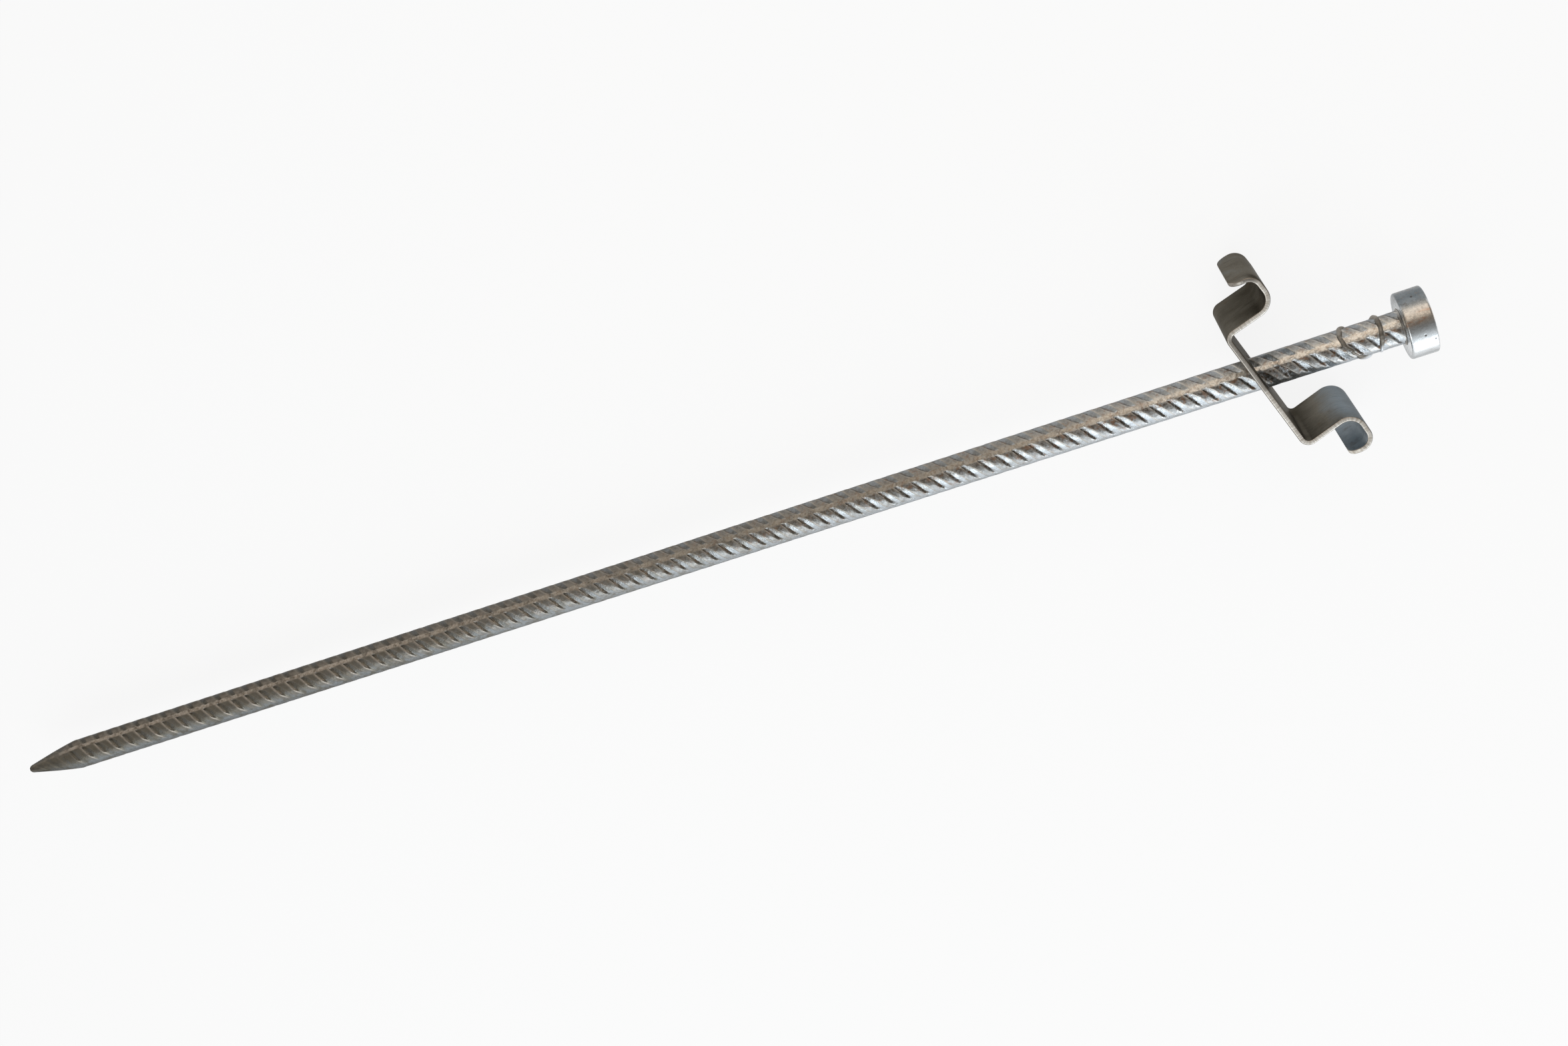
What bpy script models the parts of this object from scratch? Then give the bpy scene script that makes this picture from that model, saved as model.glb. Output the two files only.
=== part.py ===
import bmesh
import bpy
from math import cos, pi, radians, sin, tan
from mathutils import Matrix, Vector

# Sizes in millimetres, turned into metres when a mesh is written
MM = 0.001

# Ribbed rod: the point is at length 0 and the head stands on the far end
ROD_LENGTH = 800.0
ROD_CORE_RADIUS = 7.75
RIB_PITCH = 9.1
RIB_STARTS = 4
RIB_HEIGHT = 0.95
RIB_HALF_BASE = 2.1
RIB_PHASE = 2.1
SPINE_HEIGHT = 0.85
SPINE_HALF_TOP = 7.0
SPINE_HALF_BASE = 12.5
SPINE_TURN_AT_POINT = 48.5
SPINE_TWIST_PER_MM = -0.021

# Ground point: (length, radius) stations, ribs fade in before the last one
POINT_STATIONS = ((0.0, 1.1), (1.2, 2.1), (9.0, 3.85), (18.0, 5.75), (24.0, 7.0))
POINT_SHOULDER = 36.0

# Striking head
HEAD_RADIUS = 17.0
HEAD_THICKNESS = 13.5
HEAD_EDGE_RADIUS = 1.2
HEAD_SIDES = 48

# Weld seam under the head and the spiral stop bead
JOIN_GAP = 0.3
SEAM_LEG = 1.8
BEAD_HALF_WIDTH = 1.4
BEAD_HEIGHT = 1.3
BEAD_SIDES = 6
BEAD_STEP = 15.0
# Angle round the rod against the distance to the underside of the head
BEAD_ROUTE = (
    (105.0, 28.5), (50.0, 30.0), (20.0, 29.2), (-10.0, 26.2), (-40.0, 23.0),
    (-72.0, 19.8), (-160.0, 15.5), (-251.0, 11.6), (-283.0, 10.5),
    (-320.0, 10.5), (-350.0, 11.0), (-406.0, 12.5), (-432.0, 12.8),
)

# Hook plate: bent steel strip that rides on the rod
PLATE_TO_HEAD = 72.3
PLATE_TILT = 18.2
STRIP_WIDTH = 51.0
STRIP_THICKNESS = 2.6
HOLE_CLEARANCE = 0.35
HOLE_SIDES = 32
CORNER_RADIUS = 4.0
LEG_HEIGHT = 15.2
ARCH_NEAR_RADIUS = 7.9
ARCH_TOP = 4.2
ARCH_FAR_RADIUS = 6.1
FLAP_LENGTH = 7.0
END_CORNER_RADIUS = 3.5
LEG_REACH_A = 32.8
LEG_REACH_B = 37.1
LEG_BEND_A = 90.5
LEG_BEND_B = 92.0
ARCH_BENDS_A = (92.5, 78.0)
ARCH_BENDS_B = (93.5, 91.0)
BEND_STEPS = 5

# Sizes that follow from the ones above
ROD_OUTER_RADIUS = ROD_CORE_RADIUS + max(RIB_HEIGHT, SPINE_HEIGHT)
TILT = radians(PLATE_TILT)
HOLE_RADIUS = (
    ROD_OUTER_RADIUS + HOLE_CLEARANCE + 0.5 * STRIP_THICKNESS * sin(TILT)
) / cos(TILT)
PLATE_STATION = ROD_LENGTH - PLATE_TO_HEAD
# Each end of the strip: reach of its leg from the rod's axis, then its bends
HOOK_ENDS = {
    -1: (LEG_REACH_A, LEG_BEND_A, *ARCH_BENDS_A),
    1: (LEG_REACH_B, LEG_BEND_B, *ARCH_BENDS_B),
}
RIB_LEAD = RIB_PITCH * RIB_STARTS


def clear_scene():
    for item in list(bpy.data.objects):
        bpy.data.objects.remove(item, do_unlink=True)


def steel(name, colour, roughness):
    material = bpy.data.materials.new(name)
    material.use_nodes = True
    shader = material.node_tree.nodes["Principled BSDF"]
    shader.inputs["Base Color"].default_value = (*colour, 1.0)
    shader.inputs["Metallic"].default_value = 1.0
    shader.inputs["Roughness"].default_value = roughness
    return material


def finish(name, mesh_data, material, origin, smooth):
    """Turns a working mesh in millimetres into a named object."""
    bmesh.ops.remove_doubles(mesh_data, verts=mesh_data.verts, dist=1e-4)
    bmesh.ops.recalc_face_normals(mesh_data, faces=mesh_data.faces)
    bmesh.ops.translate(mesh_data, verts=mesh_data.verts, vec=-origin)
    bmesh.ops.scale(mesh_data, verts=mesh_data.verts, vec=Vector((MM, MM, MM)))
    for face in mesh_data.faces:
        face.smooth = smooth
    mesh = bpy.data.meshes.new(name)
    mesh_data.to_mesh(mesh)
    mesh_data.free()
    mesh.materials.append(material)
    item = bpy.data.objects.new(name, mesh)
    item.location = origin * MM
    bpy.context.scene.collection.objects.link(item)
    return item


def around(length, angle, radius):
    """Point on a ring round the rod; the angle runs from +Z towards +Y."""
    turn = radians(angle)
    return Vector((length, radius * sin(turn), radius * cos(turn)))


def bridge(mesh_data, first, second):
    count = len(first)
    for k in range(count):
        n = (k + 1) % count
        mesh_data.faces.new((first[k], first[n], second[n], second[k]))


# Columns round the rod, as angles from one spine: four per spine, four per side
def rod_columns():
    side_span = 180.0 - 2.0 * SPINE_HALF_BASE
    columns = []
    for spine in (0.0, 180.0):
        for offset, lift in (
            (-SPINE_HALF_BASE, 0.0), (-SPINE_HALF_TOP, 1.0),
            (SPINE_HALF_TOP, 1.0), (SPINE_HALF_BASE, 0.0),
        ):
            columns.append((spine + offset, lift * SPINE_HEIGHT, 0.0))
        for k in range(4):
            step = (k + 1) / 5.0
            rise = sin(pi * step) ** 0.6
            angle = spine + SPINE_HALF_BASE + side_span * step
            columns.append((angle, 0.0, rise * RIB_HEIGHT))
    return columns


def point_radius(length):
    stations = POINT_STATIONS + ((POINT_SHOULDER, ROD_OUTER_RADIUS),)
    for (a, ra), (b, rb) in zip(stations, stations[1:]):
        if length <= b:
            return ra + (rb - ra) * (length - a) / (b - a)
    return ROD_OUTER_RADIUS


def rod_mesh():
    """Ribs follow a four-start thread, so the rows of the grid do too."""
    mesh_data = bmesh.new()
    columns = rod_columns()
    offsets = (-RIB_HALF_BASE, 0.0, RIB_HALF_BASE)
    first_turn = -RIB_STARTS
    last_turn = int((ROD_LENGTH + RIB_LEAD) / RIB_PITCH) + 2
    grid = []
    for turn in range(first_turn, last_turn):
        for offset in offsets:
            row = []
            for angle, spine_lift, rib_lift in columns:
                along = turn * RIB_PITCH + offset + RIB_PHASE
                along -= RIB_LEAD * angle / 360.0
                radius = ROD_CORE_RADIUS + spine_lift
                if offset == 0.0:
                    radius += rib_lift
                if along < POINT_SHOULDER:
                    radius = min(radius, point_radius(max(along, POINT_STATIONS[-2][0])))
                twist = SPINE_TURN_AT_POINT + SPINE_TWIST_PER_MM * along
                row.append(mesh_data.verts.new(around(along, angle + twist, radius)))
            grid.append(row)
    shift = len(offsets) * RIB_STARTS
    count = len(columns)
    for i in range(len(grid) - 1):
        for k in range(count - 1):
            mesh_data.faces.new(
                (grid[i][k], grid[i][k + 1], grid[i + 1][k + 1], grid[i + 1][k])
            )
        j = i - shift
        if j >= 0:
            mesh_data.faces.new(
                (grid[i][count - 1], grid[j][0], grid[j + 1][0], grid[i + 1][count - 1])
            )
    rod_end = ROD_LENGTH - JOIN_GAP
    rod_start = POINT_STATIONS[-1][0]
    for plane, normal in ((rod_end, 1.0), (rod_start, -1.0)):
        everything = mesh_data.verts[:] + mesh_data.edges[:] + mesh_data.faces[:]
        bmesh.ops.bisect_plane(
            mesh_data, geom=everything, dist=1e-5, plane_co=(plane, 0, 0),
            plane_no=(normal, 0, 0), clear_outer=True,
        )
        rim = [e for e in mesh_data.edges if e.is_boundary
               and all(abs(v.co.x - plane) < 1e-3 for v in e.verts)]
        cap = bmesh.ops.contextual_create(mesh_data, geom=rim)["faces"]
        if normal < 0:
            draw_point(mesh_data, cap)
    return mesh_data


def draw_point(mesh_data, cap):
    """Draws the cut face of the rod down to the blunt point."""
    before, before_radius = POINT_STATIONS[-1]
    for along, radius in reversed(POINT_STATIONS[:-1]):
        made = bmesh.ops.extrude_face_region(mesh_data, geom=cap)["geom"]
        bmesh.ops.delete(mesh_data, geom=cap, context="FACES")
        cap = [g for g in made if isinstance(g, bmesh.types.BMFace)]
        corners = [g for g in made if isinstance(g, bmesh.types.BMVert)]
        share = radius / before_radius
        bmesh.ops.scale(mesh_data, verts=corners, vec=Vector((1.0, share, share)))
        bmesh.ops.translate(
            mesh_data, verts=corners, vec=Vector((along - before, 0.0, 0.0))
        )
        before, before_radius = along, radius


def turned_mesh(outline, sides):
    """Solid of revolution round the rod's axis from (length, radius) points."""
    mesh_data = bmesh.new()
    rings = []
    for along, radius in outline:
        rings.append([
            mesh_data.verts.new(around(along, 360.0 * k / sides, radius))
            for k in range(sides)
        ])
    return mesh_data, rings


def head_mesh():
    base = ROD_LENGTH
    top = ROD_LENGTH + HEAD_THICKNESS
    edge = HEAD_EDGE_RADIUS
    flat = HEAD_RADIUS - edge
    soft = edge * (1.0 - cos(radians(45.0)))
    outline = [
        (base, flat), (base + soft, HEAD_RADIUS - soft), (base + edge, HEAD_RADIUS),
        (top - edge, HEAD_RADIUS), (top - soft, HEAD_RADIUS - soft), (top, flat),
    ]
    mesh_data, rings = turned_mesh(outline, HEAD_SIDES)
    for first, second in zip(rings, rings[1:]):
        bridge(mesh_data, first, second)
    mesh_data.faces.new(rings[0])
    mesh_data.faces.new(rings[-1])
    return mesh_data


def seam_mesh():
    """Fillet seam round the rod, against the underside of the head."""
    inner = ROD_OUTER_RADIUS + JOIN_GAP
    face = ROD_LENGTH - JOIN_GAP
    outline = [
        (face - SEAM_LEG, inner), (face, inner), (face, inner + SEAM_LEG),
        (face - 0.45 * SEAM_LEG, inner + 0.55 * SEAM_LEG),
    ]
    mesh_data, rings = turned_mesh(outline, HEAD_SIDES // 2)
    for k, ring in enumerate(rings):
        bridge(mesh_data, ring, rings[(k + 1) % len(rings)])
    return mesh_data


def bead_station(angle):
    for (a, la), (b, lb) in zip(BEAD_ROUTE, BEAD_ROUTE[1:]):
        if angle >= b:
            return ROD_LENGTH - (la + (lb - la) * (angle - a) / (b - a))
    return ROD_LENGTH - BEAD_ROUTE[-1][1]


def bead_mesh():
    """Half-round weld bead on its route round the rod."""
    mesh_data = bmesh.new()
    start, end = BEAD_ROUTE[0][0], BEAD_ROUTE[-1][0]
    count = int(round((start - end) / BEAD_STEP))
    seat = ROD_OUTER_RADIUS + JOIN_GAP
    rings = []
    for k in range(count + 1):
        angle = start + (end - start) * k / count
        along = bead_station(angle)
        size = 0.6 if k in (0, count) else 1.0
        ring = []
        for n in range(BEAD_SIDES):
            turn = pi * n / (BEAD_SIDES - 1)
            ring.append(mesh_data.verts.new(around(
                along + size * BEAD_HALF_WIDTH * cos(turn), angle,
                seat + size * (BEAD_HEIGHT - JOIN_GAP) * sin(turn),
            )))
        rings.append(ring)
    for first, second in zip(rings, rings[1:]):
        bridge(mesh_data, first, second)
    mesh_data.faces.new(rings[0])
    mesh_data.faces.new(rings[-1])
    return mesh_data


def strip_route(end):
    """Stations of the strip's middle line: distance, position and direction."""
    reach, corner, near, far = HOOK_ENDS[end]
    corner, near, far = radians(corner), -radians(near), -radians(far)
    straight = reach - CORNER_RADIUS * tan(0.5 * corner)
    steps = [("line", straight), ("bend", CORNER_RADIUS, corner)]
    steps += [("line", LEG_HEIGHT), ("bend", ARCH_NEAR_RADIUS, near)]
    steps += [("line", ARCH_TOP), ("bend", ARCH_FAR_RADIUS, far)]
    steps += [("line", FLAP_LENGTH)]
    travelled, along, up, heading = 0.0, 0.0, 0.0, 0.0
    route = [(travelled, along, up, heading)]
    for step in steps:
        pieces = 1 if step[0] == "line" else BEND_STEPS
        for _ in range(pieces):
            if step[0] == "line":
                length = chord = step[1]
                turn = 0.0
            else:
                turn = step[2] / pieces
                length = step[1] * abs(turn)
                chord = 2.0 * step[1] * sin(0.5 * abs(turn))
            along += chord * cos(heading + 0.5 * turn)
            up += chord * sin(heading + 0.5 * turn)
            heading += turn
            travelled += length
            route.append((travelled, along, up, heading))
    return route


def plate_frame():
    """Strip length, strip width and plate normal as directions in the part."""
    length_way = Vector((sin(TILT), -cos(TILT), 0.0))
    width_way = Vector((0.0, 0.0, -1.0))
    normal = Vector((cos(TILT), sin(TILT), 0.0))
    return length_way, width_way, normal


def plate_mesh():
    mesh_data = bmesh.new()
    length_way, width_way, normal = plate_frame()
    centre = Vector((PLATE_STATION, 0.0, 0.0))
    half_width = 0.5 * STRIP_WIDTH
    half_thick = 0.5 * STRIP_THICKNESS
    made = {}

    def corner(spot, across, side):
        """Vertex at a route spot (end, along, up, heading) and a width."""
        end, along, up, heading = spot
        lean = side * half_thick
        place = centre + length_way * end * (along - lean * sin(heading))
        place += normal * (up + lean * cos(heading)) + width_way * across
        key = tuple(round(value, 4) for value in place)
        if key not in made:
            made[key] = mesh_data.verts.new(place)
        return made[key]

    def both_sides(loop):
        for side in (1, -1):
            mesh_data.faces.new([corner(spot, across, side) for spot, across in loop])

    def wall(first, second):
        loop = [corner(*first, 1), corner(*second, 1)]
        loop += [corner(*second, -1), corner(*first, -1)]
        mesh_data.faces.new(loop)

    # Square round the hole, cut into quads from the hole to its border
    def flat_spot(along):
        return (1, along, 0.0, 0.0) if along >= 0 else (-1, -along, 0.0, 0.0)
    hole, border = [], []
    for k in range(HOLE_SIDES):
        turn = 2.0 * pi * k / HOLE_SIDES
        reach = half_width / max(abs(cos(turn)), abs(sin(turn)))
        hole.append((flat_spot(HOLE_RADIUS * cos(turn)), HOLE_RADIUS * sin(turn)))
        border.append((flat_spot(reach * cos(turn)), reach * sin(turn)))
    for k in range(HOLE_SIDES):
        n = (k + 1) % HOLE_SIDES
        both_sides([hole[k], hole[n], border[n], border[k]])
        wall(hole[k], hole[n])
        if abs(border[k][1] - border[n][1]) < 1e-6:
            wall(border[k], border[n])

    # Both ends: the strip follows its route to the rounded end corners
    for end in HOOK_ENDS:
        spots = [(end, *stop[1:]) for stop in strip_route(end)]
        joint = [b for b in border if abs(b[0][1] - half_width) < 1e-6 and b[0][0] == end]
        joint.sort(key=lambda b: b[1])
        first = spots[1]
        both_sides(joint + [(first, half_width), (first, -half_width)])
        wall(joint[0], (first, -half_width))
        wall(joint[-1], (first, half_width))
        for here, after in zip(spots[1:-2], spots[2:-1]):
            both_sides([(here, -half_width), (here, half_width),
                        (after, half_width), (after, -half_width)])
            wall((here, -half_width), (after, -half_width))
            wall((here, half_width), (after, half_width))
        both_ends = spots[-2:]
        rim = [(both_ends[0], -half_width)]
        for way in (-1, 1):
            arc = []
            for k in range(4):
                turn = 0.5 * pi * k / 3.0
                back = END_CORNER_RADIUS * (1.0 - sin(turn))
                across = half_width - END_CORNER_RADIUS * (1.0 - cos(turn))
                share = 1.0 - back / FLAP_LENGTH
                spot = tuple(
                    a + (b - a) * share for a, b in zip(both_ends[0], both_ends[1])
                )
                arc.append((spot, way * across))
            rim += arc if way < 0 else arc[::-1]
        rim.append((both_ends[0], half_width))
        both_sides(rim)
        for a, b in zip(rim, rim[1:]):
            wall(a, b)
    return mesh_data


def build():
    clear_scene()
    rod_steel = steel("rod_steel", (0.40, 0.38, 0.35), 0.38)
    head_steel = steel("head_steel", (0.55, 0.55, 0.54), 0.30)
    weld_steel = steel("weld_steel", (0.34, 0.31, 0.28), 0.45)
    plate_steel = steel("plate_steel", (0.42, 0.40, 0.37), 0.36)
    start = Vector((0.0, 0.0, 0.0))
    far_end = Vector((ROD_LENGTH, 0.0, 0.0))
    ride = Vector((PLATE_STATION, 0.0, 0.0))
    items = [
        finish("rod", rod_mesh(), rod_steel, start, False),
        finish("head", head_mesh(), head_steel, far_end, False),
        finish("head_seam", seam_mesh(), weld_steel, far_end, False),
        finish("stop_bead", bead_mesh(), weld_steel, far_end, False),
        finish("hook_plate", plate_mesh(), plate_steel, ride, False),
    ]
    # The part stands with the middle of its lowest level at the origin
    corners = [i.location + Vector(v) for i in items for v in (b.co for b in i.data.vertices)]
    low = [min(c[k] for c in corners) for k in range(3)]
    high = [max(c[k] for c in corners) for k in range(3)]
    middle = Vector((0.5 * (low[0] + high[0]), 0.5 * (low[1] + high[1]), low[2]))
    for item in items:
        item.location -= middle
    bpy.context.view_layer.update()
    return items, low, high, middle


build()
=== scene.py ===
from math import atan2, cos, degrees, exp, inf, pi, radians, sin, sqrt, tan
import bmesh
import bpy
from mathutils import Matrix, Vector, noise


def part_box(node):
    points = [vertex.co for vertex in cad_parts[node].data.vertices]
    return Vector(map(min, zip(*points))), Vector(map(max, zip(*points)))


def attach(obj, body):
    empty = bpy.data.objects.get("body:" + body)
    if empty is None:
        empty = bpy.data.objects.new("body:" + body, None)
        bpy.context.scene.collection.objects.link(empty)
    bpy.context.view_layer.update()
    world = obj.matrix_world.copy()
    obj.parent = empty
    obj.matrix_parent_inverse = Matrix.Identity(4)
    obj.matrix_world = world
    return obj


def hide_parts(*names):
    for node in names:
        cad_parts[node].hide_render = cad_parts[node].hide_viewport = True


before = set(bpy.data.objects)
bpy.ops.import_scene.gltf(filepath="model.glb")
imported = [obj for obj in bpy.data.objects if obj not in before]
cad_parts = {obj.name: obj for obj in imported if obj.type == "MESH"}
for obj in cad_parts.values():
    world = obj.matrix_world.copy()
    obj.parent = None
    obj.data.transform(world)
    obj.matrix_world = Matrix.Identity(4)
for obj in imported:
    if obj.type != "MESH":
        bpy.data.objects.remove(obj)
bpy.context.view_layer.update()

mm = 0.001
skinRadius = 8.0  # mm, the rod's mean radius

# Where the rod lies in the frame: its point is the lowest X, its axis the middle of the head
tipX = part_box("rod")[0].x
headLow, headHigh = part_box("head")
axisY = 0.5 * (headLow.y + headHigh.y)
axisZ = 0.5 * (headLow.z + headHigh.z)
underHead = (headLow.x - tipX) / mm


def clamp(value):
    return max(0.0, min(1.0, value))


def smooth(edgeOff, edgeOn, value):  # 0 at edgeOff, 1 at edgeOn
    t = clamp((value - edgeOff) / (edgeOn - edgeOff))
    return t * t * (3.0 - 2.0 * t)


def blend(first, second, share):
    return first + (second - first) * share


def alongKnots(knots, value, eased=True):  # reads a table whose first column rises
    for a, b in zip(knots, knots[1:]):
        if value <= b[0]:
            t = smooth(a[0], b[0], value) if eased else clamp((value - a[0]) / (b[0] - a[0]))
            return [blend(p, q, t) for p, q in zip(a[1:], b[1:])]
    return list(knots[-1][1:])


def onRod(length, angle, radius):  # mm and degrees, the angle runs from +Z towards +Y
    turn = radians(angle)
    return Vector((
        tipX + length * mm,
        axisY + radius * sin(turn) * mm,
        axisZ + radius * cos(turn) * mm,
    ))


def wobble(length, angle, layers):  # smooth noise on the rod's skin, a layer is depth, size, seed
    turn = radians(angle)
    place = Vector((length, skinRadius * sin(turn), skinRadius * cos(turn)))
    return sum(depth * noise.noise(place / size + Vector((seed, seed * 0.7, -seed)))
               for depth, size, seed in layers)


def closeUp(bm, gap=1e-6):
    bmesh.ops.remove_doubles(bm, verts=bm.verts, dist=gap)
    bmesh.ops.recalc_face_normals(bm, faces=bm.faces)


def makePiece(name, bm, body, replaced, material, sharp):
    limit = radians(sharp)
    for face in bm.faces:
        face.smooth = True
    for edge in bm.edges:
        if edge.is_manifold and edge.calc_face_angle() > limit:
            edge.smooth = False
    mesh = bpy.data.meshes.new(name)
    bm.to_mesh(mesh)
    bm.free()
    mesh.materials.append(material)
    piece = bpy.data.objects.new(name, mesh)
    bpy.context.scene.collection.objects.link(piece)
    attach(piece, body)
    if replaced:
        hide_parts(replaced)
    print("made", name, len(mesh.polygons), "faces")
    return piece


# Shader expressions: a Wire is a socket that arithmetic can be written on
class Wire:
    def __init__(self, maker, socket):
        self.maker = maker
        self.socket = socket

    def calc(self, operation, first, second, clampIt=False):
        settings = dict(operation=operation, use_clamp=clampIt)
        return self.maker.node("ShaderNodeMath", settings, {0: first, 1: second})

    def __add__(self, other):
        return self.calc("ADD", self, other)

    def __radd__(self, other):
        return self.calc("ADD", other, self)

    def __sub__(self, other):
        return self.calc("SUBTRACT", self, other)

    def __rsub__(self, other):
        return self.calc("SUBTRACT", other, self)

    def __mul__(self, other):
        return self.calc("MULTIPLY", self, other)

    def __rmul__(self, other):
        return self.calc("MULTIPLY", other, self)

    def clamped(self):
        return self.calc("ADD", self, 0.0, True)

    def step(self, low, high):  # 0 below low, 1 above high, eased between
        settings = dict(interpolation_type="SMOOTHSTEP")
        values = {"Value": self, "From Min": low, "From Max": high}
        return self.maker.node("ShaderNodeMapRange", settings, values)

    def patch(self, low, high, share):  # a step that reaches share
        return self.step(low, high) * share

    def swing(self, middle, level, gain):  # level at the middle, gain for each unit past it
        return level + (self - middle) * gain


class Finish:
    def __init__(self, name, world=None):
        self.material = world or bpy.data.materials.new(name)
        self.material.use_nodes = True
        self.tree = self.material.node_tree
        self.shader = self.tree.nodes.get("Principled BSDF")

    def node(self, kind, settings, values, output=0):
        made = self.tree.nodes.new(kind)
        for key, value in settings.items():
            if key == "stops":
                ramp = made.color_ramp
                for k, (place, colour) in enumerate(value):
                    stop = ramp.elements[k] if k < 2 else ramp.elements.new(place)
                    stop.position = place
                    stop.color = (*colour, 1.0)
            else:
                setattr(made, key, value)
        for key, value in values.items():
            self.plug(made.inputs[key], value)
        return Wire(self, made.outputs[output])

    def plug(self, socket, value):
        if isinstance(value, Wire):
            self.tree.links.new(value.socket, socket)
        elif isinstance(value, tuple) and len(value) == 3 and socket.type == "RGBA":
            socket.default_value = (*value, 1.0)
        else:
            socket.default_value = value

    def place(self):
        return self.node("ShaderNodeTexCoord", {}, {}, "Object")

    def marks(self, *names):  # attributes that the meshes carry
        return [self.node("ShaderNodeAttribute", dict(attribute_name=name), {}, "Fac")
                for name in names]

    def grain(self, place, scale, detail, rough, stretch=None):
        if stretch:
            place = self.node("ShaderNodeMapping", {}, {"Vector": place, "Scale": stretch})
        values = {"Vector": place, "Scale": scale, "Detail": detail, "Roughness": rough}
        return self.node("ShaderNodeTexNoise", {}, values)

    def mix(self, share, first, second, how="MIX"):
        settings = dict(data_type="RGBA", blend_type=how)
        values = {0: share, 6: first, 7: second}
        return self.node("ShaderNodeMix", settings, values, 2)

    def darken(self, share, tone, tint):
        return self.mix(share, tone, tint, "MULTIPLY")

    def bump(self, height, distance, strength):
        values = {"Height": height, "Distance": distance, "Strength": strength}
        return self.node("ShaderNodeBump", {}, values)

    def set(self, **values):
        for key, value in values.items():
            self.plug(self.shader.inputs[key], value)


# In each finish a grain is patterns per metre, detail, roughness and sometimes its stretch. A cut
# is the grain's low and high limit, then the share that shows. A level is the grain's middle, the
# level there and the gain. The runs from point to head are in metres along X
rodFinishLook = dict(
    # Front and back tones: the lower front side painted lit, the upper back side painted shaded
    pointFront=(0.205, 0.215, 0.218), pointBack=(0.098, 0.094, 0.085),
    headFront=(0.79, 0.845, 0.89), headBack=(0.37, 0.39, 0.405),
    pointBand=(0.23, 0.205, 0.17), headBand=(0.55, 0.53, 0.50), backBand=(0.66, 0.62, 0.56),
    # Line colours: painted highlights on the rib corners, also the colour of the chalky long ribs
    pointLine=(0.60, 0.53, 0.46), middleLine=(0.47, 0.425, 0.365), headLine=(0.93, 0.89, 0.82),
    # Shade tones: painted shade beside the ribs; the one at the head also darkens flecks on the
    # rib tops
    pointShadeTone=(0.195, 0.175, 0.14), headShadeAndFleck=(0.105, 0.085, 0.066), rust=(0.30, 0.17, 0.10),
    fleckTint=(0.6, 0.6, 0.6), lumpTint=(0.62, 0.57, 0.5), blotchTint=(0.68, 0.6, 0.48),
    chalkTint=(0.6, 0.53, 0.46), specular=(0.55, 0.55, 0.55),
    cloudGrain=(60.0, 3.0, 0.6), blotchGrain=(130.0, 4.0, 0.65), lumpGrain=(260.0, 4.0, 0.62),
    rustGrain=(330.0, 4.0, 0.65), fleckGrain=(700.0, 3.0, 0.6), gritGrain=(1900.0, 2.0, 0.6),
    pointToHead=(-0.28, 0.36), pointToMiddle=(-0.2, 0.05), middleToHead=(0.17, 0.34), drift=0.12,
    fleckCut=(0.4, 0.62, 0.4), lumpCut=(0.5, 0.66, 0.4), blotchCut=(0.46, 0.6, 0.75),
    bandShare=0.6, bandCut=(0.42, 0.68, 0.45), bandLevel=(0.3, 0.7, 0.5),
    shadeLevel=(0.42, 0.65, 2.2), lineLevel=(0.3, 0.55, 1.3),
    chalk=0.1, chalkAtPoint=0.68, chalkGrit=(0.34, 0.6, 0.45), chalkLump=(0.38, 0.56, 0.75),
    chalkFleck=(0.44, 0.62, 0.5), rustCut=(0.52, 0.64, 0.75), rustOnBands=0.6,
    metal=0.87, rough=0.17, gritRough=(0.3, 0.7, 0.15), bandRough=0.12, shadeRough=0.1,
    backRough=0.16, lumpRise=0.55, fleckRise=0.35, gritRise=0.1, bump=(0.0013, 0.45),
)


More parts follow.
